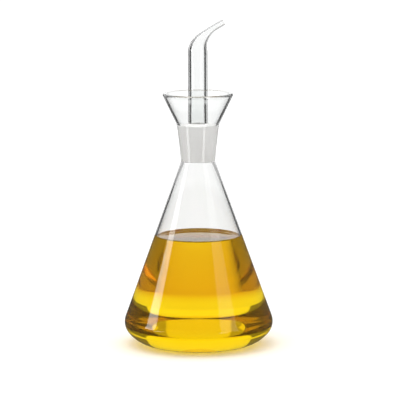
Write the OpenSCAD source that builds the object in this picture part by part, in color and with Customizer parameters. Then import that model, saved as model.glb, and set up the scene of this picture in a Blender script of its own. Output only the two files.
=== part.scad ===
// Glass oil cruet: a conical flask with a ground neck and a drip cup, and a lift-out pourer.
// Millimetres, +Z up. The origin is the centre of the standing ring, and the spout points to +X.

/* [Flask] */
// Widest diameter of the body, just above the heel
body_d = 110; // [90:1:130]
// Radius of the upper part of the heel, where it meets the cone
heel_r = 12; // [9:0.5:15]
// Radius of the lower part of the heel, where it leaves the base
foot_r = 26; // [22:0.5:30]
// Angle below level where the two parts of the heel meet
foot_a = 40; // [30:1:50]
// Height of the throat, the narrowest place
throat_h = 137; // [110:1:170]
// Outside diameter of the throat
throat_d = 25; // [23:0.2:30]
// Radius of the outside curve at the throat
waist_r = 2; // [1:0.5:6]
// Wall thickness at the heel
heel_wall = 1.7; // [1.2:0.1:2.2]
// Thickness of the base
floor_t = 2.4; // [2.2:0.1:4]
// How far the middle of the base is pushed up
punt_h = 10; // [4:0.5:12]
// Width of the slope between the standing ring and the middle
punt_w = 10; // [8:0.5:14]
// Width of the flat ring that the flask stands on
ring_w = 0.8; // [0.5:0.1:2]
// Height where the wall starts to thicken towards the throat
knee_h = 108; // [85:1:109]

/* [Ground neck] */
// Length of the ground socket
socket_l = 27; // [24:0.5:32]
// Outside diameter at the socket's top
socket_d = 31.2; // [30:0.2:34]
// How far the socket's outside wall curves in, halfway up
socket_sag = 0.25; // [0:0.05:0.4]
// Bore of the socket at the throat
seat_low_d = 19.8; // [18:0.2:20]
// Bore of the socket at its top
seat_top_d = 26.6; // [25.6:0.2:27]
// Radius of the drip-return groove in the socket's wall
groove_r = 1.2; // [0.8:0.1:1.3]

/* [Drip cup] */
// Outside diameter at the rim
rim_d = 51.6; // [46:0.2:58]
// Height of the rim above the base
rim_h = 187.2; // [184:0.2:195]
// Wall thickness of the cup
cup_wall = 2.2; // [1.8:0.1:2.4]
// Radius of the outside curve where the neck flares into the cup
flare_r = 3; // [2:0.5:8]
// Radius of the rounded lip
lip_r = 1.3; // [1.25:0.05:1.5]

/* [Pourer] */
// Wall thickness of the hollow plug
plug_wall = 2.1; // [1.6:0.1:2.4]
// Height of the plug's foot above the throat
plug_foot = 1.5; // [1:0.1:4]
// Running clearance between plug and socket, measured on the radius
seat_gap = 0.06; // [0.04:0.01:0.1]
// Outside diameter of the pouring tube
tube_d = 14.2; // [12:0.2:15]
// Wall thickness of the pouring tube
tube_wall = 2.2; // [1.4:0.1:2.4]
// Height where the tube starts to bend
bend_h = 217.5; // [205:0.5:235]
// Radius of the first, tighter part of the bend, on the centre line
bend_r = 15.8; // [14:0.2:22]
// Angle that the tube leans over after the first part
bend_a = 38; // [25:1:45]
// Radius of the second, easier part of the bend
reach_r = 35; // [25:1:50]
// Angle that the tip leans over
tip_a = 60; // [50:1:75]
// Length of the straight tip after the bends
tip_l = 6.5; // [4:0.5:15]
// Outside diameter of the tip
tip_d = 4.4; // [3.6:0.1:5]
// Bore of the tip
tip_bore_d = 2.8; // [1.6:0.1:3]

/* [Oil] */
// Height of the oil's surface
oil_h = 80; // [40:1:100]
// Gap that is left between the oil and the glass
oil_gap = 0.1; // [0.05:0.05:0.3]

/* [Hidden] */
clear_glass = [0.86, 0.93, 0.92, 0.35];
ground_glass = [0.86, 0.86, 0.84, 0.9];
oil_gold = [0.93, 0.70, 0.06, 0.85];
round_fn = 96;
tube_fn = 32;
arc_step = 6;
wall_steps = 6;
punt_steps = 8;
overlap = 1;

// Flask body: the heel's upper circle and a throat circle, joined by their common tangent. The
// heel's lower circle touches the upper one inside, and the plane that the flask stands on.
body_r = body_d / 2;
throat_r = throat_d / 2;
heel_c = [body_r - heel_r, foot_r - (foot_r - heel_r) * sin(foot_a)];
foot_c = [heel_c[0] - (foot_r - heel_r) * cos(foot_a), foot_r];
waist_c = [throat_r + waist_r, throat_h];
heel_to_waist = waist_c - heel_c;
cone_a = atan2(heel_to_waist[1], heel_to_waist[0]) - acos((heel_r + waist_r) / norm(heel_to_waist));
bore_rise = floor_t - heel_wall;
bore_heel_r = heel_r - heel_wall;
bore_heel_c = [heel_c[0], heel_c[1] + bore_rise];
bore_foot_r = foot_r - heel_wall;
bore_foot_c = [foot_c[0], foot_c[1] + bore_rise];
punt_edge = foot_c[0] - ring_w;

// Ground neck: a straight taper inside. Outside it curves in a little, and leaves the top at socket_a.
seat_low_r = seat_low_d / 2;
seat_top_r = seat_top_d / 2;
socket_r = socket_d / 2;
socket_h = throat_h + socket_l;
seat_a = atan((seat_top_r - seat_low_r) / socket_l);
socket_a = atan((socket_r - throat_r + 4 * socket_sag) / socket_l);

// Drip cup: a flare that starts along the socket's wall, then a straight cone up to the lip.
lip_c = [rim_d / 2 - lip_r, rim_h - lip_r];
flare_c = [socket_r + flare_r * cos(socket_a), socket_h - flare_r * sin(socket_a)];
flare_to_lip = lip_c - flare_c;
cup_a = acos(-(flare_r + cup_wall / 2) / norm(flare_to_lip)) - atan2(flare_to_lip[1], flare_to_lip[0]);
bore_flare_r = flare_r + cup_wall;

// Pourer: the plug's shoulder is level with the socket's top, and a short neck carries the tube.
tube_r = tube_d / 2;
tube_bore_r = tube_r - tube_wall;
tip_r = tip_d / 2;
tip_bore_r = tip_bore_d / 2;
plug_h = throat_h + plug_foot;
shoulder_edge = 0.8;
shoulder_t = 2.6;
neck_fillet = 1.5;
plug_top = socket_h + neck_fillet;
// The drawn end starts this far inside the wall of the straight tube, so that they join cleanly.
inset = 0.01;
draw_l = 25;
draw_start = 1.6;
draw_fall = 2.6;
bend_l = bend_r * bend_a * PI / 180;
reach_l = reach_r * (tip_a - bend_a) * PI / 180;
path_l = bend_l + reach_l + tip_l;
path_steps = 16;
lip_steps = 6;

// Points of an arc about the point c, from the angle a0 to the angle a1.
function arc(c, r, a0, a1) =
    let (n = ceil(abs(a1 - a0) / arc_step))
    [for (i = [0:n]) let (a = a0 + (a1 - a0) * i / n) [c[0] + r * cos(a), c[1] + r * sin(a)]];

// Pushed-up base, from the standing ring in to the axis, raised by the height z.
function punt(z) = concat(
    [for (i = [0:punt_steps])
        let (t = i / punt_steps)
        [punt_edge - punt_w * t, z + punt_h * (1 - cos(180 * t)) / 2]],
    [[0, z + punt_h]]);

// The heel from the base up to the cone, with the radii and centres of one face of the wall.
function heel(foot_c, foot_r, heel_c, heel_r) = concat(
    arc(foot_c, foot_r, -90, -foot_a),
    arc(heel_c, heel_r, -foot_a, 0),
    arc(heel_c, heel_r, 0, cone_a));

// The same points in the opposite order.
function backwards(points) = [for (i = [len(points) - 1:-1:0]) points[i]];

// Outside radius of the body at the height z, on the cone or on the throat's curve.
cone_foot = heel_c + heel_r * [cos(cone_a), sin(cone_a)];
waist_foot_h = throat_h - waist_r * sin(cone_a);
function body_out(z) = z < waist_foot_h
    ? cone_foot[0] - (z - cone_foot[1]) * tan(cone_a)
    : waist_c[0] - sqrt(waist_r * waist_r - pow(throat_h - z, 2));

// Inside radius of the body: parallel to the cone up to the knee, then thicker up to the throat.
bore_foot = bore_heel_c + bore_heel_r * [cos(cone_a), sin(cone_a)];
function bore_line(z) = bore_foot[0] - (z - bore_foot[1]) * tan(cone_a);
cone_wall_h = body_out(knee_h) - bore_line(knee_h);
throat_wall = throat_r - seat_low_r;
function body_in(z) =
    let (s = max(0, (z - knee_h) / (throat_h - knee_h)))
    body_out(z) - cone_wall_h - (throat_wall - cone_wall_h) * s * s;

// Bore radius of the ground socket at the height z, and its outside radius at the share t of its height.
function seat(z) = seat_low_r + (z - throat_h) * tan(seat_a);
function socket_out(t) = throat_r + (socket_r - throat_r) * t - 4 * socket_sag * t * (1 - t);

// The pouring tube narrows from full size to the tip's size over the draw length.
function drawn(s) = s < draw_l ? pow(1 - pow(s / draw_l, draw_start), draw_fall) : 0;
function out_r(s) = tip_r + (tube_r - inset - tip_r) * drawn(s);
function bore_r(s) = tip_bore_r + (tube_bore_r + inset - tip_bore_r) * drawn(s);

// Centre line of the bends and the tip: [x, z, lean] at the length s from the start of the bend.
function on_arc(from, r, a0, a1) =
    [from[0] + r * (cos(a0) - cos(a1)), from[1] + r * (sin(a1) - sin(a0)), a1];
bend_end = on_arc([0, bend_h], bend_r, 0, bend_a);
reach_end = on_arc(bend_end, reach_r, bend_a, tip_a);
function centre(s) =
    s <= bend_l ? on_arc([0, bend_h], bend_r, 0, bend_a * s / bend_l)
    : s <= bend_l + reach_l
        ? on_arc(bend_end, reach_r, bend_a, bend_a + (tip_a - bend_a) * (s - bend_l) / reach_l)
    : [for (i = [0:2]) reach_end[i] + (s - bend_l - reach_l) * [sin(tip_a), cos(tip_a), 0][i]];

// One ring of points about the centre line, at the length s and with the radius r.
function ring(s, r) =
    let (c = centre(s))
    [for (k = [0:tube_fn - 1])
        let (t = 360 * k / tube_fn)
        [c[0] + r * cos(t) * cos(c[2]), r * sin(t), c[1] - r * cos(t) * sin(c[2])]];

module revolve(outline) {
    rotate_extrude($fn = round_fn) polygon(outline);
}

// Blown body: pushed-up base, round heel and cone, open at the throat.
module reservoir() {
    out_wall = concat(
        backwards(punt(0)),
        heel(foot_c, foot_r, heel_c, heel_r),
        arc(waist_c, waist_r, 180 + cone_a, 180));
    in_wall = concat(
        [for (i = [wall_steps:-1:0])
            let (z = knee_h + (throat_h - knee_h) * i / wall_steps)
            [body_in(z), z]],
        backwards(heel(bore_foot_c, bore_foot_r, bore_heel_c, bore_heel_r)),
        punt(floor_t));
    color(clear_glass) revolve(concat(out_wall, in_wall));
}

// Ground socket: a tapered seat for the plug, with a groove that lets drips back and air in.
module neck_socket() {
    color(ground_glass) difference() {
        revolve(concat(
            [[seat_low_r, throat_h]],
            [for (i = [0:wall_steps]) let (t = i / wall_steps) [socket_out(t), throat_h + t * socket_l]],
            [[seat_top_r, socket_h]]));
        translate([-seat_low_r, 0, throat_h])
            rotate([0, -seat_a, 0])
                translate([0, 0, -overlap])
                    cylinder(r = groove_r, h = socket_l / cos(seat_a) + 2 * overlap, $fn = round_fn);
    }
}

// Drip cup: catches what runs down the tube. Its lip is a fire-polished bead.
module drip_funnel() {
    out_wall = arc(flare_c, flare_r, 180 - socket_a, 180 - cup_a);
    bead = arc(lip_c, lip_r, -cup_a - 15, 180 - cup_a + 15);
    in_flare = arc(flare_c, bore_flare_r, 180 - cup_a, 180 - socket_a - 2);
    color(clear_glass) revolve(concat(out_wall, bead, in_flare, [[seat_top_r, socket_h]]));
}

// Hollow ground plug, open below. It carries the pouring tube on its shoulder.
module stopper_plug() {
    foot_r = seat(plug_h) - seat_gap;
    edge_r = seat(socket_h - shoulder_edge) - seat_gap;
    fillet_c = [tube_r + neck_fillet, socket_h + neck_fillet];
    under = socket_h - shoulder_t;
    color(ground_glass) revolve(concat(
        [[foot_r - plug_wall, plug_h], [foot_r, plug_h], [edge_r, socket_h - shoulder_edge]],
        arc([edge_r - shoulder_edge, socket_h - shoulder_edge], shoulder_edge, 0, 90),
        arc(fillet_c, neck_fillet, 270, 180),
        [[tube_r, plug_top], [tube_bore_r, plug_top], [tube_bore_r, under]],
        [[seat(under) - seat_gap - plug_wall, under - 2]]));
}

// Pouring tube: straight from the plug, then bent over and drawn down to a narrow tip.
module spout_tube() {
    color(clear_glass) union() {
        translate([0, 0, plug_top]) difference() {
            cylinder(r = tube_r, h = bend_h - plug_top, $fn = round_fn);
            translate([0, 0, -overlap])
                cylinder(r = tube_bore_r, h = bend_h - plug_top + 2 * overlap, $fn = round_fn);
        }
        drawn_tip();
    }
}

// The bent and drawn end: outside rings, a round end, then the bore's rings back again.
module drawn_tip() {
    round_r = (tip_r - tip_bore_r) / 2;
    mid_r = tip_bore_r + round_r;
    rings = concat(
        [for (i = [0:path_steps]) let (s = (path_l - round_r) * i / path_steps) ring(s, out_r(s))],
        [for (i = [1:lip_steps - 1])
            let (a = 180 * i / lip_steps)
            ring(path_l - round_r + round_r * sin(a), mid_r + round_r * cos(a))],
        [for (i = [path_steps:-1:0]) let (s = (path_l - round_r) * i / path_steps) ring(s, bore_r(s))]);
    n = len(rings);
    quads = [for (i = [0:n - 1]) for (k = [0:tube_fn - 1])
        let (j = (i + 1) % n, m = (k + 1) % tube_fn)
        [i * tube_fn + k, j * tube_fn + k, j * tube_fn + m, i * tube_fn + m]];
    polyhedron([for (r = rings) for (p = r) p], quads);
}

// Oil: fills the body up to its surface, just clear of the glass.
module oil() {
    top_r = body_in(oil_h) - oil_gap;
    color(oil_gold) revolve(concat(
        backwards(punt(floor_t + oil_gap)),
        heel(bore_foot_c, bore_foot_r - oil_gap, bore_heel_c, bore_heel_r - oil_gap),
        [[top_r, oil_h], [0, oil_h]]));
}

reservoir();
neck_socket();
drip_funnel();
stopper_plug();
spout_tube();
oil();
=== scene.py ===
import math

import bpy
from mathutils import Euler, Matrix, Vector


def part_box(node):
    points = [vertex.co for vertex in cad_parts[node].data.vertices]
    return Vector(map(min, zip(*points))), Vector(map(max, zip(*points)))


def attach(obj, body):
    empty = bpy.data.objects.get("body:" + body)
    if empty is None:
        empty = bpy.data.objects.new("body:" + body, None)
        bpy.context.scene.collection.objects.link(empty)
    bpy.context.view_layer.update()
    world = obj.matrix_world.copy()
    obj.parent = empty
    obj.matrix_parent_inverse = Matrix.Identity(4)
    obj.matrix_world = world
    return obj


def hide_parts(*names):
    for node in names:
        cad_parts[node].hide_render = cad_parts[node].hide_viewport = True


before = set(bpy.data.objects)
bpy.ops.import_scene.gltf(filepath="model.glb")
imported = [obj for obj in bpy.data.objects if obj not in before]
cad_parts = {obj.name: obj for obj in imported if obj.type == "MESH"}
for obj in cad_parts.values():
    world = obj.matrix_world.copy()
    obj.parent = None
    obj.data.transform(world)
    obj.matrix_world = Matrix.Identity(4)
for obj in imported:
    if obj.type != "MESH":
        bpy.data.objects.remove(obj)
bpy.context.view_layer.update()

# Sizes are in millimetres here, and the meshes are made in metres.
MM = 0.001

# Read off the CAD nodes.
body_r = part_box("reservoir")[1].x / MM
throat_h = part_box("reservoir")[1].z / MM
socket_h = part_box("neck_socket")[1].z / MM
rim_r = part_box("drip_funnel")[1].x / MM
rim_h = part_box("drip_funnel")[1].z / MM
plug_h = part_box("stopper_plug")[0].z / MM
plug_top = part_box("stopper_plug")[1].z / MM
oil_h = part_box("oil")[1].z / MM

# Driving dimensions of the flask.
heel_r = 12.0
foot_r = 26.0
foot_a = 40.0
throat_r = 12.5
waist_r = 2.0
heel_wall = 1.7
floor_t = 2.4
punt_h = 10.0
punt_w = 10.0
ring_w = 0.8
knee_h = 108.0
socket_r = 15.6
socket_sag = 0.25
seat_low_r = 9.9
seat_top_r = 13.3
groove_r = 1.2
cup_wall = 2.2
flare_r = 3.0
lip_r = 1.3

# Driving dimensions of the pourer.
plug_wall = 2.1
seat_gap = 0.06
shoulder_edge = 0.8
shoulder_t = 2.6
neck_fillet = 1.5
hollow_slope = 2.0
weld_gap = 0.02
tube_r = 7.1
tube_bore_r = 4.9
bend_h = 217.5
bend_r = 15.8
bend_a = 38.0
reach_r = 35.0
tip_a = 60.0
tip_l = 6.5
tip_r = 2.2
tip_bore_r = 1.4
draw_l = 25.0
draw_start = 1.6
draw_fall = 2.6

# The oil climbs the glass at its edge.
climb_h = 1.7
climb_w = 1.25
climb_reach = 8 * climb_w
oil_gap = 0.03

# How finely the shapes are divided: pieces of a turn, degrees along an arc, and steps along a line.
SEGMENTS = 192
ARC_STEP = 2.0
BEAD_STEP = 6.0
SMALL_ARC_STEP = 10.0
PUNT_STEPS = 40
PUNT_TOP_STEPS = 4
WALL_STEPS = 60
WET_STEPS = 40
CLIMB_STEPS = 40
SOCKET_STEPS = 24
SEAT_STEPS = 30
GROOVE_STEPS = 24
TUBE_STEPS = 12
BEND_STEPS = 110
TIP_STEPS = 12

# Edges that turn by more than this many degrees are shaded as edges.
SHARP_ANGLE = 35

# How far the groove's close steps run past it, as a part of its half-width.
GROOVE_MARGIN = 1.15

# Degrees that the cup's bead runs on past its wall, and that its flare stops short of the seat.
BEAD_WRAP = 15
SEAT_TURN = 2

# Closer than this, in millimetres, points are on the axis, or are the same point.
ON_AXIS = 1e-6
SAME_POINT = 1e-5


# Angles are in degrees.
def sin(a):
    return math.sin(math.radians(a))


def cos(a):
    return math.cos(math.radians(a))


def tan(a):
    return math.tan(math.radians(a))


def spread(a, b, n):
    """Even steps from a to b."""
    return [a + (b - a) * i / n for i in range(n + 1)]


def arc(c, r, a0, a1, step=ARC_STEP):
    """Points on a circle round c, from the angle a0 to a1."""
    n = max(2, math.ceil(abs(a1 - a0) / step))
    return [(c[0] + r * cos(a), c[1] + r * sin(a)) for a in spread(a0, a1, n)]


# Flask body: the heel's upper circle and a throat circle, joined by their common tangent. The
# heel's lower circle touches the upper one inside, and the plane that the flask stands on.
heel_c = (body_r - heel_r, foot_r - (foot_r - heel_r) * sin(foot_a))
foot_c = (heel_c[0] - (foot_r - heel_r) * cos(foot_a), foot_r)
waist_c = (throat_r + waist_r, throat_h)
run_x = waist_c[0] - heel_c[0]
run_z = waist_c[1] - heel_c[1]
tangent = math.acos((heel_r + waist_r) / math.hypot(run_x, run_z))
cone_a = math.degrees(math.atan2(run_z, run_x) - tangent)
cone_foot = (heel_c[0] + heel_r * cos(cone_a), heel_c[1] + heel_r * sin(cone_a))
waist_foot_h = throat_h - waist_r * sin(cone_a)

# The inside of the wall. It is raised by how much thicker the floor is than the heel.
bore_rise = floor_t - heel_wall
bore_heel_r = heel_r - heel_wall
bore_heel_c = (heel_c[0], heel_c[1] + bore_rise)
bore_foot_r = foot_r - heel_wall
bore_foot_c = (foot_c[0], foot_c[1] + bore_rise)
bore_foot = (bore_heel_c[0] + bore_heel_r * cos(cone_a), bore_heel_c[1] + bore_heel_r * sin(cone_a))
punt_edge = foot_c[0] - ring_w
throat_wall = throat_r - seat_low_r


def punt(z):
    """Pushed-up base, from the standing ring in to the axis, raised by the height z."""
    slope = []
    for t in spread(0, 1, PUNT_STEPS):
        slope.append((punt_edge - punt_w * t, z + punt_h * (1 - cos(180 * t)) / 2))
    top = spread(punt_edge - punt_w, 0, PUNT_TOP_STEPS)
    return slope + [(r, z + punt_h) for r in top[1:]]


def heel(low_c, low_r, high_c, high_r):
    """One face of the heel, from the base up to the cone, by the centres and radii of its two arcs."""
    return arc(low_c, low_r, -90, -foot_a) + arc(high_c, high_r, -foot_a, cone_a)


def body_out(z):
    """Radius of the body's outside at the height z, above the heel."""
    if z < waist_foot_h:
        return cone_foot[0] - (z - cone_foot[1]) * tan(cone_a)
    return waist_c[0] - math.sqrt(waist_r * waist_r - (throat_h - z) ** 2)


def bore_line(z):
    """Radius of the inside where it runs straight up the cone."""
    return bore_foot[0] - (z - bore_foot[1]) * tan(cone_a)


cone_wall_h = body_out(knee_h) - bore_line(knee_h)


def body_in(z):
    """Radius of the body's inside, whose wall thickens from the knee up to the throat."""
    s = max(0.0, (z - knee_h) / (throat_h - knee_h))
    return body_out(z) - cone_wall_h - (throat_wall - cone_wall_h) * s * s


# Ground neck.
socket_l = socket_h - throat_h
seat_a = math.degrees(math.atan((seat_top_r - seat_low_r) / socket_l))
socket_a = math.degrees(math.atan((socket_r - throat_r + 4 * socket_sag) / socket_l))


def seat(z):
    """Radius of the ground seat at the height z."""
    return seat_low_r + (z - throat_h) * tan(seat_a)


def socket_out(z):
    """Radius of the socket's outside, which is hollowed by socket_sag halfway up."""
    t = (z - throat_h) / socket_l
    return throat_r + (socket_r - throat_r) * t - 4 * socket_sag * t * (1 - t)


# Drip cup.
lip_c = (rim_r - lip_r, rim_h - lip_r)
flare_c = (socket_r + flare_r * cos(socket_a), socket_h - flare_r * sin(socket_a))
cup_x = lip_c[0] - flare_c[0]
cup_z = lip_c[1] - flare_c[1]
cup_tangent = math.acos(-(flare_r + cup_wall / 2) / math.hypot(cup_x, cup_z))
cup_a = math.degrees(cup_tangent - math.atan2(cup_z, cup_x))


# --- meshes -------------------------------------------------------------------------------------


def make_object(name, points, faces, slots, materials):
    """An object from points in millimetres, with the place of each face's material in materials."""
    mesh = bpy.data.meshes.new(name)
    mesh.from_pydata([Vector(p) * MM for p in points], [], faces)
    mesh.update()
    for m in materials:
        mesh.materials.append(m)
    mesh.polygons.foreach_set("material_index", slots)
    mesh.shade_smooth()
    mesh.set_sharp_from_angle(angle=math.radians(SHARP_ANGLE))
    mesh.validate()
    obj = bpy.data.objects.new(name, mesh)
    bpy.context.scene.collection.objects.link(obj)
    return obj


def even_angles():
    return [2 * math.pi * k / SEGMENTS for k in range(SEGMENTS)]


def lathe(name, outline, slots, materials, angles=None, shape=None):
    """A closed outline of (radius, height) turned about Z. The band after point i has material slots[i].

    shape can change the radius at each point, by its radius, its angle and its place in the outline.
    """
    angles = angles or even_angles()
    points = []
    rings = []
    for i, (r, z) in enumerate(outline):
        if r < ON_AXIS:
            rings.append([len(points)] * len(angles))
            points.append((0, 0, z))
            continue
        rings.append(list(range(len(points), len(points) + len(angles))))
        for a in angles:
            q = shape(r, a, i) if shape else r
            points.append((q * math.cos(a), q * math.sin(a), z))
    faces = []
    face_slots = []
    n = len(outline)
    for i in range(n):
        j = (i + 1) % n
        if outline[i][0] < ON_AXIS and outline[j][0] < ON_AXIS:
            continue
        for k in range(len(angles)):
            m = (k + 1) % len(angles)
            face = [rings[i][k], rings[i][m], rings[j][m], rings[j][k]]
            face = [v for p, v in enumerate(face) if v != face[p - 1]]
            faces.append(face)
            face_slots.append(slots[i])
    return make_object(name, points, faces, face_slots, materials)


def bands(materials, *parts):
    """Joins stretches of outline, each with the material of its bands, and drops doubled points."""
    outline = []
    slots = []
    for points, material in parts:
        slot = materials.index(material)
        for p in points:
            if outline and math.dist(outline[-1], p) < SAME_POINT:
                slots[-1] = slot
                continue
            outline.append(p)
            slots.append(slot)
    return outline, slots


# --- materials ----------------------------------------------------------------------------------


def node_tree(name):
    material = bpy.data.materials.new(name)
    material.use_nodes = True
    tree = material.node_tree
    tree.nodes.clear()
    return material, tree


def add(tree, kind, **values):
    """A new shader node, with its properties set."""
    node = tree.nodes.new("ShaderNode" + kind)
    for key, value in values.items():
        setattr(node, key, value)
    return node


def feed(tree, socket, value):
    """Sets a socket to a number, or links another node's output to it."""
    if isinstance(value, (int, float)):
        socket.default_value = value
    else:
        tree.links.new(value, socket)


def principled(tree, colour, rough, ior, transmission=1.0):
    shader = add(tree, "BsdfPrincipled")
    shader.inputs["Base Color"].default_value = (*colour, 1)
    shader.inputs["Roughness"].default_value = rough
    shader.inputs["IOR"].default_value = ior
    shader.inputs["Transmission Weight"].default_value = transmission
    out = add(tree, "OutputMaterial")
    tree.links.new(shader.outputs["BSDF"], out.inputs["Surface"])
    return shader, out


def noise_at(tree, stretch, scale, detail):
    """Noise that is fixed to the object. A higher stretch packs it closer along that axis."""
    coords = add(tree, "TexCoord")
    mapping = add(tree, "Mapping")
    mapping.inputs["Scale"].default_value = stretch
    noise = add(tree, "TexNoise")
    noise.inputs["Scale"].default_value = scale
    noise.inputs["Detail"].default_value = detail
    tree.links.new(coords.outputs["Object"], mapping.inputs["Vector"])
    tree.links.new(mapping.outputs["Vector"], noise.inputs["Vector"])
    return noise.outputs["Fac"]


def ramp(tree, factor, stops):
    """A colour for each value of the factor, by stops of (value, colour)."""
    node = add(tree, "ValToRGB")
    elements = node.color_ramp.elements
    while len(elements) < len(stops):
        elements.new(0.5)
    for e, (position, colour) in zip(elements, stops):
        e.position = position
        e.color = (*colour, 1)
    tree.links.new(factor, node.inputs["Fac"])
    return node.outputs["Color"]


def remap(tree, value, edge, low, high, curve="SMOOTHSTEP"):
    """Goes from low to high as the value goes from one end of the edge to the other."""
    node = add(tree, "MapRange", interpolation_type=curve)
    node.inputs["From Min"].default_value = edge[0]
    node.inputs["From Max"].default_value = edge[1]
    node.inputs["To Min"].default_value = low
    node.inputs["To Max"].default_value = high
    tree.links.new(value, node.inputs["Value"])
    return node.outputs["Result"]


def bump(tree, shader, height, strength, distance):
    node = add(tree, "Bump")
    node.inputs["Strength"].default_value = strength
    node.inputs["Distance"].default_value = distance
    tree.links.new(height, node.inputs["Height"])
    tree.links.new(node.outputs["Normal"], shader.inputs["Normal"])


# The oil's surface bends light as the glass does.
GLASS_IOR = 1.473

# Clarity is the share of the light that goes through and isn't scattered at the surface.
GROUND_CLARITY = 0.12
OIL_CLARITY = 0.97

# What the oil takes out of light, for each metre.
OIL_ABSORPTION = (0.998, 0.915, 0.0, 1)
OIL_DENSITY = 34.0

# Where the noise has its first and its last colour.
TINT_START = 0.3
TINT_END = 0.7


def tint(tree, shader, factor, first, last):
    """Colours a shader between two tints."""
    colour = ramp(tree, factor, [(TINT_START, first), (TINT_END, last)])
    tree.links.new(colour, shader.inputs["Base Color"])


def clear_glass_material():
    """Flame-worked clear glass, with faint drawn streaks in its surface."""
    material, tree = node_tree("clear_glass")
    shader, _ = principled(tree, (0.985, 0.99, 0.988), 0.0, GLASS_IOR)
    streaks = noise_at(tree, stretch=(1, 1, 0.25), scale=60, detail=2)
    tint(tree, shader, streaks, (0.975, 0.985, 0.98), (0.995, 0.997, 0.996))
    return material


def ground_glass_material():
    """Ground joint: fine rings left by the grit, over an even satin scatter."""
    material, tree = node_tree("ground_glass")
    shader, _ = principled(tree, (0.95, 0.945, 0.93), 0.6, GLASS_IOR, GROUND_CLARITY)
    rings = noise_at(tree, stretch=(1, 1, 14), scale=220, detail=3)
    grit = noise_at(tree, stretch=(1, 1, 1), scale=2600, detail=2)
    tint(tree, shader, grit, (0.94, 0.935, 0.92), (0.99, 0.985, 0.975))
    tree.links.new(remap(tree, rings, (0, 1), 0.45, 0.7, "LINEAR"), shader.inputs["Roughness"])
    bump(tree, shader, rings, strength=0.25, distance=0.0001)
    return material


def weld_material():
    """Where two blanks were melted together, or oil wets the glass: light goes straight through."""
    material, tree = node_tree("melted_joint")
    shader, _ = principled(tree, (1, 1, 1), 0.0, 1.0)
    shader.inputs["Alpha"].default_value = 0.0
    return material


def oil_material(name, ior):
    """Golden oil: its colour comes from how far light goes through it."""
    material, tree = node_tree(name)
    shader, out = principled(tree, (0.995, 0.87, 0.12), 0.0, ior, OIL_CLARITY)
    haze = noise_at(tree, stretch=(1, 1, 1), scale=25, detail=2)
    tint(tree, shader, haze, (0.99, 0.865, 0.11), (1.0, 0.875, 0.13))
    absorb = add(tree, "VolumeAbsorption")
    absorb.inputs["Color"].default_value = OIL_ABSORPTION
    absorb.inputs["Density"].default_value = OIL_DENSITY
    tree.links.new(absorb.outputs["Volume"], out.inputs["Volume"])
    return material


clear = clear_glass_material()
ground = ground_glass_material()
melted = weld_material()

# Nothing bends light between the oil and the glass that it wets, so its side has no index of its own.
oil_side = oil_material("golden_oil", 1.0)
oil_top = oil_material("golden_oil_surface", GLASS_IOR)

# --- pieces -------------------------------------------------------------------------------------

# Height at which the oil's edge meets the glass.
contact_h = oil_h + climb_h


def make_reservoir():
    """The blown body, with its pushed-up base. It is melted at the throat, and wet below the oil's edge."""
    materials = [clear, melted]
    outside = punt(0)[::-1] + heel(foot_c, foot_r, heel_c, heel_r)
    outside += [(body_out(z), z) for z in spread(cone_foot[1], waist_foot_h, WALL_STEPS)]
    outside += arc(waist_c, waist_r, 180 + cone_a, 180)
    throat = [(throat_r, throat_h)]
    dry = [(body_in(z), z) for z in spread(throat_h, contact_h, WALL_STEPS)]
    wet = [(body_in(z), z) for z in spread(contact_h, bore_foot[1], WET_STEPS)]
    wet += heel(bore_foot_c, bore_foot_r, bore_heel_c, bore_heel_r)[::-1] + punt(floor_t)
    outline, slots = bands(materials, (outside, clear), (throat, melted), (dry, clear), (wet, melted))
    return lathe("flask_body", outline, slots, materials)


def groove_angles():
    """Even steps, with close ones at the groove on the side away from the spout."""
    half = math.asin(groove_r / seat_low_r)
    rest = [a for a in even_angles() if abs(a - math.pi) > half * GROOVE_MARGIN]
    return sorted(rest + spread(math.pi - half, math.pi + half, GROOVE_STEPS))


def make_socket():
    """The tapered socket: ground inside, with the drip-return groove, and melted on at both ends."""
    materials = [clear, ground, melted]
    outside = [(socket_out(z), z) for z in spread(throat_h, socket_h, SOCKET_STEPS)]
    seat_wall = [(seat(z), z) for z in spread(socket_h, throat_h, SEAT_STEPS)]
    first_seat = len(outside)

    def grooved(r, a, i):
        if i < first_seat or math.cos(a) > 0:
            return r
        y = r * math.sin(a)
        depth = math.sqrt(max(0.0, groove_r ** 2 - y * y))
        return r + depth

    outline, slots = bands(materials, (outside, clear), ([outside[-1]], melted), (seat_wall, ground))
    slots[-1] = materials.index(melted)
    return lathe("ground_socket", outline, slots, materials, groove_angles(), grooved)


def make_cup():
    """The flared cup, with a fire-polished bead for a lip. It is melted on to the socket."""
    materials = [clear, melted]
    wall = arc(flare_c, flare_r, 180 - socket_a, 180 - cup_a)
    wall += arc(lip_c, lip_r, -cup_a - BEAD_WRAP, 180 - cup_a + BEAD_WRAP, BEAD_STEP)
    wall += arc(flare_c, flare_r + cup_wall, 180 - cup_a, 180 - socket_a - SEAT_TURN)
    outline, slots = bands(materials, (wall, clear), ([(seat_top_r, socket_h)], melted))
    return lathe("drip_cup", outline, slots, materials)


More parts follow.
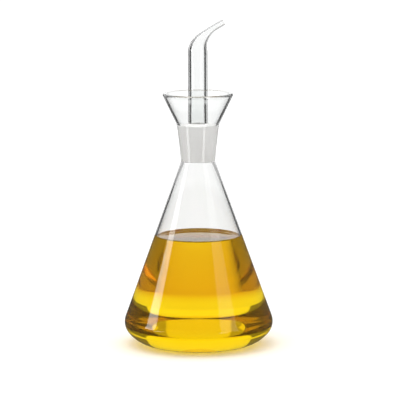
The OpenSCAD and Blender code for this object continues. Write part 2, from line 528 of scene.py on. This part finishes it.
def make_plug():
    """The hollow plug: ground outside, clear inside, open below, and melted to the tube at its top."""
    materials = [ground, clear, melted]
    edge_h = socket_h - shoulder_edge
    edge_r = seat(edge_h) - seat_gap
    under = socket_h - shoulder_t
    outside = [(seat(z) - seat_gap, z) for z in spread(plug_h, edge_h, SEAT_STEPS)]
    outside += arc((edge_r - shoulder_edge, edge_h), shoulder_edge, 0, 90, SMALL_ARC_STEP)
    fillet_c = (tube_r + neck_fillet, socket_h + neck_fillet)
    outside += arc(fillet_c, neck_fillet, 270, 180, SMALL_ARC_STEP)
    bore = [(tube_bore_r, plug_top), (tube_bore_r, under)]
    hollow = spread(under - hollow_slope, plug_h, SEAT_STEPS)
    inside = [(seat(z) - seat_gap - plug_wall, z) for z in hollow]
    joint = ([outside[-1]], melted)
    foot = ([inside[-1]], ground)
    outline, slots = bands(materials, (outside, ground), joint, (bore, ground), (inside, clear), foot)
    return lathe("ground_plug", outline, slots, materials)


# Lengths of the tube's centre line, from where it starts to bend.
bend_l = bend_r * math.radians(bend_a)
reach_l = reach_r * math.radians(tip_a - bend_a)
path_l = bend_l + reach_l + tip_l


def on_arc(start, r, a0, a1):
    """Where an arc that starts with the lean a0 has come to when it leans by a1."""
    return (start[0] + r * (cos(a0) - cos(a1)), start[1] + r * (sin(a1) - sin(a0)), a1)


def centre(s):
    """The tube's centre line: x, height and lean, at the length s from where it starts to bend."""
    if s <= 0:
        return (0.0, bend_h + s, 0.0)
    if s <= bend_l:
        return on_arc((0, bend_h), bend_r, 0, bend_a * s / bend_l)
    bent = on_arc((0, bend_h), bend_r, 0, bend_a)
    if s <= bend_l + reach_l:
        return on_arc(bent, reach_r, bend_a, bend_a + (tip_a - bend_a) * (s - bend_l) / reach_l)
    end = on_arc(bent, reach_r, bend_a, tip_a)
    t = s - bend_l - reach_l
    return (end[0] + t * sin(tip_a), end[1] + t * cos(tip_a), tip_a)


def drawn(s):
    """How much of the tube's full width is left at s: it is drawn down towards the tip."""
    if s <= 0:
        return 1.0
    return (1 - (s / draw_l) ** draw_start) ** draw_fall if s < draw_l else 0.0


def out_r(s):
    return tip_r + (tube_r - tip_r) * drawn(s)


def bore_r(s):
    return tip_bore_r + (tube_bore_r - tip_bore_r) * drawn(s)


def tube_rings():
    """The tube's rings, by place and radius: up the outside, round the tip and down the bore."""
    round_r = (tip_r - tip_bore_r) / 2
    mid_r = tip_bore_r + round_r
    last = path_l - round_r
    steps = spread(plug_top + weld_gap - bend_h, 0, TUBE_STEPS) + spread(0, last, BEND_STEPS)[1:]
    rings = [(s, out_r(s)) for s in steps]
    for a in spread(0, 180, TIP_STEPS)[1:-1]:
        rings.append((last + round_r * sin(a), mid_r + round_r * cos(a)))
    return rings + [(s, bore_r(s)) for s in reversed(steps)]


def make_tube():
    """The bent pouring tube. Only the band that closes its foot is melted."""
    rings = tube_rings()
    points = []
    for s, r in rings:
        x, z, lean = centre(s)
        for k in range(SEGMENTS):
            t = 360 * k / SEGMENTS
            points.append((x + r * cos(t) * cos(lean), r * sin(t), z - r * cos(t) * sin(lean)))
    faces = []
    slots = []
    for i in range(len(rings)):
        j = (i + 1) % len(rings)
        for k in range(SEGMENTS):
            m = (k + 1) % SEGMENTS
            corners = ((i, k), (i, m), (j, m), (j, k))
            faces.append([ring * SEGMENTS + step for ring, step in corners])
            slots.append(1 if j == 0 else 0)
    return make_object("pouring_tube", points, faces, slots, [clear, melted])


def make_oil():
    """The oil, which fills the body to within oil_gap of its wall and climbs the glass at its edge."""
    materials = [oil_side, oil_top]
    wall_r = body_in(contact_h) - oil_gap

    def surface(r):
        return oil_h + climb_h * math.exp(-(wall_r - r) / climb_w)

    side = punt(floor_t + oil_gap)[::-1]
    side += heel(bore_foot_c, bore_foot_r - oil_gap, bore_heel_c, bore_heel_r - oil_gap)
    side += [(body_in(z) - oil_gap, z) for z in spread(bore_foot[1], contact_h, WALL_STEPS)]
    top = [(r, surface(r)) for r in spread(wall_r, wall_r - climb_reach, CLIMB_STEPS)]
    outline, slots = bands(materials, (side, oil_side), (top + [(0, oil_h)], oil_top))
    return lathe("oil_filling", outline, slots, materials)


def place(obj, body, node):
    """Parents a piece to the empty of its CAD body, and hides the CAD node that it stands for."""
    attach(obj, body)
    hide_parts(node)


place(make_reservoir(), "flask", "reservoir")
place(make_socket(), "flask", "neck_socket")
place(make_cup(), "flask", "drip_funnel")
place(make_oil(), "flask", "oil")
place(make_plug(), "plug", "stopper_plug")
place(make_tube(), "spout", "spout_tube")

# --- studio -------------------------------------------------------------------------------------

# Glass shows a dimmer room than the camera sees, with bright panels that stand round the bottle.
# The room is WHITE to the camera, and THROUGH below the horizon where clear glass is looked through.
WHITE = 1.04
THROUGH = 1.09

# How bright the room is on scattered light: what has gone through ground glass, and what has not.
FROST = 2.05
SOFT = 1.14

# How bright the room is between its panels, in what glass shows.
DIM = 0.28
FLOOR_DIM = 0.07
PANEL_DIM = 0.5
FLANK_DIM = 0.26
SHEEN_DIM = 0.10

# What is left of that brightness above the lids.
LID_DIM = 0.25
OVERHEAD_DIM = 0.10

# Each panel is a compass angle in degrees, its half-width and its strength. Behind the bottle is 90.
PANEL_EDGE = 1.5
BACK = (90, 17, 1.4)
LEFT = (188, 9, 6.0)
RIGHT = (320, 14, 1.2)
OVERHEAD = (270, 50, 0.5)
INNER_BACK = (90, 17, 1.0)
# NECK_LEFT and NECK_RIGHT are painted highlight strips on the floor, for the face of the neck to mirror.
NECK_LEFT = (208, 7, 5.0)
NECK_RIGHT = (306, 6, 5.0)
FAR_CORNER = (135, 20, 1.2)
FAR_LEFT = (180, 17, 1.2)
FLANKS = [(90, 33, 1.2), (180, 28, 1.2), (320, 33, 1.2)]
AHEAD = (90, 60, 1.0)
# FLOOR_BACK, FLOOR_LEFT and FLOOR_BEHIND are painted light on the floor, in what glass shows.
FLOOR_BACK = (90, 15, 1.1)
FLOOR_LEFT = (180, 15, 1.1)
FLOOR_BEHIND = (90, 42, 1.0)

# Where the room changes with height, as the rise of a direction: 0 is level and 1 is straight up.
HORIZON = (-0.02, 0.03)
LOW_RISE = (0.08, 0.12)
OVERHEAD_RISE = (0.22, 0.30)
CORNER_RISE = (0.40, 0.45)
SIDE_LID = (0.46, 0.52)
FLANK_LID = (0.50, 0.56)
AHEAD_LID = (0.52, 0.58)
OVERHEAD_LID = (0.57, 0.63)

# Where the painted light and shade on the floor change in what glass shows, in metres from the axis of
# the bottle, and how bright the painted shade is nearer than that. FAR_LIFT is how much brighter the
# painted light is farther off.
BOTTLE_EDGE = (0.052, 0.080)
BOTTLE_SHADE = 0.22
BASE_EDGE = (0.055, 0.065)
BASE_SHADE = 0.30
BESIDE_EDGE = (0.20, 0.35)
BESIDE_SHADE = 0.35
SHEEN_EDGE = (0.25, 0.35)
ROOM_EDGE = (0.40, 0.60)
FAR_EDGE = (0.85, 1.20)
FAR_LIFT = 1.07

# Where the floor's painted light changes with how flat it is seen: 0 is from straight above and 1 is
# level. Seen steeply it gets painted shade, and seen flat its painted colour turns grey.
STEEP = (0.22, 0.40)
STEEP_SHADE = 0.20
GRAZING = (0.38, 0.80)
GRAZING_PAINTED_TONE = (0.96, 0.96, 0.96, 1)

# Painted colour of the light on the floor in what glass shows, by the distance from the axis in half
# metres. Close to the bottle it is painted yellow light that has come through the oil.
PAINTED_LIGHT_TINTS = [
    (0.110, (0.95, 0.93, 0.85)),
    (0.140, (0.80, 0.56, 0.26)),
    (0.250, (0.84, 0.62, 0.34)),
    (0.360, (0.95, 0.86, 0.70)),
    (0.600, (0.95, 0.95, 0.95)),
]
HALF_METRES = 2.0

# The floor's own colour, half its width, and how far it lies under the bottle, in metres.
FLOOR_COLOUR = (0.97, 0.97, 0.97, 1)
FLOOR_SIZE = 30.0
FLOOR_DROP = 0.0003


def calculate(tree, operation, a, b):
    """A Math node on two numbers or outputs."""
    node = add(tree, "Math", operation=operation)
    feed(tree, node.inputs[0], a)
    feed(tree, node.inputs[1], b)
    return node.outputs["Value"]


def choose(tree, factor, a, b):
    """Goes from a to b as the factor goes from 0 to 1."""
    node = add(tree, "Mix", data_type="FLOAT")
    feed(tree, node.inputs[0], factor)
    feed(tree, node.inputs[2], a)
    feed(tree, node.inputs[3], b)
    return node.outputs[0]


def glow(tree, vector, panels, dim):
    """Brightness of a room that is dim between its panels, by the compass heading of a vector."""
    flat = add(tree, "VectorMath", operation="MULTIPLY")
    flat.inputs[1].default_value = (1, 1, 0)
    heading = add(tree, "VectorMath", operation="NORMALIZE")
    tree.links.new(vector, flat.inputs[0])
    tree.links.new(flat.outputs["Vector"], heading.inputs[0])
    total = dim
    for angle, half, strength in panels:
        facing = add(tree, "VectorMath", operation="DOT_PRODUCT")
        facing.inputs[1].default_value = (cos(angle), sin(angle), 0)
        tree.links.new(heading.outputs["Vector"], facing.inputs[0])
        edge = (cos(half + PANEL_EDGE), cos(half - PANEL_EDGE))
        panel = remap(tree, facing.outputs["Value"], edge, 0.0, strength)
        total = calculate(tree, "MAXIMUM", panel, total)
    return total


def light_path(tree):
    """Whether glass mirrored this light, whether it went through glass, and whether it was scattered."""
    path = add(tree, "LightPath")
    depths = ("Glossy Depth", "Transmission Depth", "Diffuse Depth")
    return [calculate(tree, "GREATER_THAN", path.outputs[depth], 0.5) for depth in depths]


def floor_strength(tree, position, distance, facing, mirrored, through):
    """Painted brightness of the floor in glass, with painted shadow near the bottle, painted highlight
    strips and painted room panels, by whether it is seen through it, off its face, or both.
    """
    # Mirrored and bent: painted room panels far off on the floor, and painted shadow under the base.
    room = glow(tree, position, [FLOOR_BACK, FLOOR_LEFT], FLOOR_DIM)
    both = choose(tree, remap(tree, distance, ROOM_EDGE, 0.0, 1.0), DIM, room)
    both = choose(tree, remap(tree, distance, BASE_EDGE, 0.0, 1.0), BASE_SHADE, both)
    # Mirrored off the face: painted highlight strips on the floor.
    sheen = glow(tree, position, [NECK_LEFT, NECK_RIGHT], SHEEN_DIM)
    sheen = choose(tree, remap(tree, distance, SHEEN_EDGE, 0.0, 1.0), SHEEN_DIM, sheen)
    # Bent only: painted shade beside the bottle except behind it, painted shadow at its foot, a painted
    # lift far off, and painted shade where the floor is seen steeply.
    behind = glow(tree, position, [FLOOR_BEHIND], BESIDE_SHADE)
    behind = choose(tree, remap(tree, distance, BESIDE_EDGE, 0.0, 1.0), behind, 1.0)
    seen = remap(tree, distance, BOTTLE_EDGE, BOTTLE_SHADE, THROUGH)
    seen = calculate(tree, "MULTIPLY", seen, remap(tree, distance, FAR_EDGE, 1.0, FAR_LIFT))
    seen = calculate(tree, "MULTIPLY", seen, behind)
    seen = calculate(tree, "MULTIPLY", seen, remap(tree, facing, STEEP, STEEP_SHADE, 1.0))
    return choose(tree, mirrored, seen, choose(tree, through, sheen, both))


def floor_material():
    """Pale paper. What glass shows of it is lit by rule: it glows with painted light, painted shadow and
    painted highlights, so that no light has to find its way through.
    """
    material, tree = node_tree("floor_paper")
    pale = add(tree, "BsdfDiffuse")
    pale.inputs["Color"].default_value = FLOOR_COLOUR
    mirrored, through, scattered = light_path(tree)
    in_glass = calculate(tree, "MAXIMUM", mirrored, through)
    unscattered = calculate(tree, "SUBTRACT", 1.0, scattered)
    mirrored = calculate(tree, "MULTIPLY", mirrored, unscattered)
    position = add(tree, "NewGeometry").outputs["Position"]
    length = add(tree, "VectorMath", operation="LENGTH")
    tree.links.new(position, length.inputs[0])
    distance = length.outputs["Value"]
    facing = add(tree, "LayerWeight").outputs["Facing"]
    # Colour of the painted light: the painted tints by distance, turning to the grey grazing tone where the
    # floor is seen flat.
    painted_tone = add(tree, "Mix", data_type="RGBA")
    painted_tone.inputs[7].default_value = GRAZING_PAINTED_TONE
    painted_tints = ramp(tree, calculate(tree, "MULTIPLY", distance, HALF_METRES), PAINTED_LIGHT_TINTS)
    tree.links.new(remap(tree, facing, GRAZING, 0.0, 1.0), painted_tone.inputs[0])
    tree.links.new(painted_tints, painted_tone.inputs[6])
    # The floor glows with this painted light only for light that glass has mirrored or bent; the camera
    # sees the pale paper.
    lit = add(tree, "Emission")
    strength = floor_strength(tree, position, distance, facing, mirrored, through)
    tree.links.new(painted_tone.outputs[2], lit.inputs["Color"])
    tree.links.new(strength, lit.inputs["Strength"])
    mix = add(tree, "MixShader")
    out = add(tree, "OutputMaterial")
    tree.links.new(in_glass, mix.inputs["Fac"])
    tree.links.new(pale.outputs["BSDF"], mix.inputs[1])
    tree.links.new(lit.outputs["Emission"], mix.inputs[2])
    tree.links.new(mix.outputs["Shader"], out.inputs["Surface"])
    return material


def make_floor():
    """A flat sheet a hair below the bottle."""
    mesh = bpy.data.meshes.new("floor")
    corners = [(-1, -1, 0), (1, -1, 0), (1, 1, 0), (-1, 1, 0)]
    mesh.from_pydata([Vector(c) * FLOOR_SIZE for c in corners], [], [(0, 1, 2, 3)])
    mesh.materials.append(floor_material())
    obj = bpy.data.objects.new("floor", mesh)
    obj.location.z = -FLOOR_DROP
    bpy.context.scene.collection.objects.link(obj)


def make_world():
    """White all round. What glass bends or mirrors is a dimmer room with a few bright panels in it."""
    world = bpy.data.worlds.new("studio")
    world.use_nodes = True
    tree = world.node_tree
    tree.nodes.clear()
    mirrored, through, scattered = light_path(tree)
    facing = add(tree, "TexCoord").outputs["Generated"]
    split = add(tree, "SeparateXYZ")
    tree.links.new(facing, split.inputs["Vector"])
    rise = split.outputs["Z"]

    # Mirrored inside the glass: a room with a low part, a lit corner, a lid and a panel overhead.
    corner = glow(tree, facing, [FAR_CORNER], DIM)
    corner = calculate(tree, "MULTIPLY", corner, remap(tree, rise, CORNER_RISE, 0.0, 1.0))
    inner = calculate(tree, "MAXIMUM", glow(tree, facing, [INNER_BACK], PANEL_DIM), corner)
    low_room = glow(tree, facing, [INNER_BACK, FAR_LEFT], FLOOR_DIM)
    inner = choose(tree, remap(tree, rise, LOW_RISE, 0.0, 1.0), low_room, inner)
    side_lid = remap(tree, rise, SIDE_LID, 1.0, DIM)
    ahead_lid = remap(tree, rise, AHEAD_LID, 1.0, DIM)
    lid = choose(tree, glow(tree, facing, [AHEAD], 0.0), side_lid, ahead_lid)
    inner = calculate(tree, "MULTIPLY", inner, lid)
    overhead = glow(tree, facing, [OVERHEAD], 0.0)
    overhead = calculate(tree, "MULTIPLY", overhead, remap(tree, rise, OVERHEAD_RISE, 0.0, 1.0))
    overhead = calculate(tree, "MULTIPLY", overhead, remap(tree, rise, OVERHEAD_LID, 1.0, OVERHEAD_DIM))
    inner = calculate(tree, "MAXIMUM", inner, overhead)

    # Mirrored off the face of the glass.
    sheen = glow(tree, facing, [BACK, LEFT, RIGHT], SHEEN_DIM)
    room = choose(tree, through, sheen, inner)

    # Seen straight through the glass.
    flanks = glow(tree, facing, FLANKS, FLANK_DIM)
    flanks = calculate(tree, "MULTIPLY", flanks, remap(tree, rise, FLANK_LID, 1.0, LID_DIM))
    flanks = choose(tree, remap(tree, rise, HORIZON, 0.0, 1.0), THROUGH, flanks)

    unscattered = calculate(tree, "SUBTRACT", 1.0, scattered)
    strength = choose(tree, scattered, WHITE, choose(tree, through, SOFT, FROST))
    strength = choose(tree, calculate(tree, "MULTIPLY", through, unscattered), strength, flanks)
    strength = choose(tree, calculate(tree, "MULTIPLY", mirrored, unscattered), strength, room)
    back = add(tree, "Background")
    back.inputs["Color"].default_value = (1, 1, 1, 1)
    out = add(tree, "OutputWorld")
    tree.links.new(strength, back.inputs["Strength"])
    tree.links.new(back.outputs["Background"], out.inputs["Surface"])
    world.cycles.sampling_method = "NONE"
    bpy.context.scene.world = world


# The softbox hangs over the bottle and only lights what scatters. Lengths are in metres.
SOFTBOX_FROM = (-0.25, -0.3, 1)
SOFTBOX_AIM = (0, 0, 0.08)
SOFTBOX_DISTANCE = 0.9
SOFTBOX_SIDE = 0.6
SOFTBOX_WATTS = 1.2

# The camera stands a little right of the axis. Its place is in metres, its angles are in degrees, and
# its lens and sensor are in millimetres.
CAMERA_AT = (0.0013, -1.922, 0.395)
CAMERA_DOWN = 8.5
CAMERA_ROLL = -0.22
CAMERA_LENS = 236.6
CAMERA_SENSOR = 36.0
CAMERA_CLIP = (0.1, 100)


def make_softbox():
    light = bpy.data.lights.new("softbox", "AREA")
    light.shape = "RECTANGLE"
    light.size = SOFTBOX_SIDE
    light.size_y = SOFTBOX_SIDE
    light.energy = SOFTBOX_WATTS
    obj = bpy.data.objects.new("softbox", light)
    target = Vector(SOFTBOX_AIM)
    obj.location = target + Vector(SOFTBOX_FROM).normalized() * SOFTBOX_DISTANCE
    obj.rotation_euler = (target - obj.location).to_track_quat("-Z", "Y").to_euler()
    obj.visible_camera = False
    obj.visible_glossy = False
    obj.visible_transmission = False
    bpy.context.scene.collection.objects.link(obj)


def make_camera():
    camera = bpy.data.cameras.new("camera")
    camera.sensor_width = CAMERA_SENSOR
    camera.lens = CAMERA_LENS
    camera.clip_start, camera.clip_end = CAMERA_CLIP
    obj = bpy.data.objects.new("camera", camera)
    obj.location = CAMERA_AT
    pitch = math.radians(90 - CAMERA_DOWN)
    obj.rotation_euler = Euler((pitch, 0, 0), "XYZ")
    obj.rotation_euler.rotate_axis("Z", math.radians(CAMERA_ROLL))
    bpy.context.scene.collection.objects.link(obj)
    bpy.context.scene.camera = obj


make_floor()
make_world()
make_softbox()
make_camera()

# Light crosses many walls before it leaves the glass.
scene = bpy.context.scene
scene.view_settings.view_transform = "Standard"
scene.cycles.max_bounces = 64
scene.cycles.transmission_bounces = 48
scene.cycles.glossy_bounces = 48
scene.cycles.diffuse_bounces = 16
scene.cycles.use_denoising = True
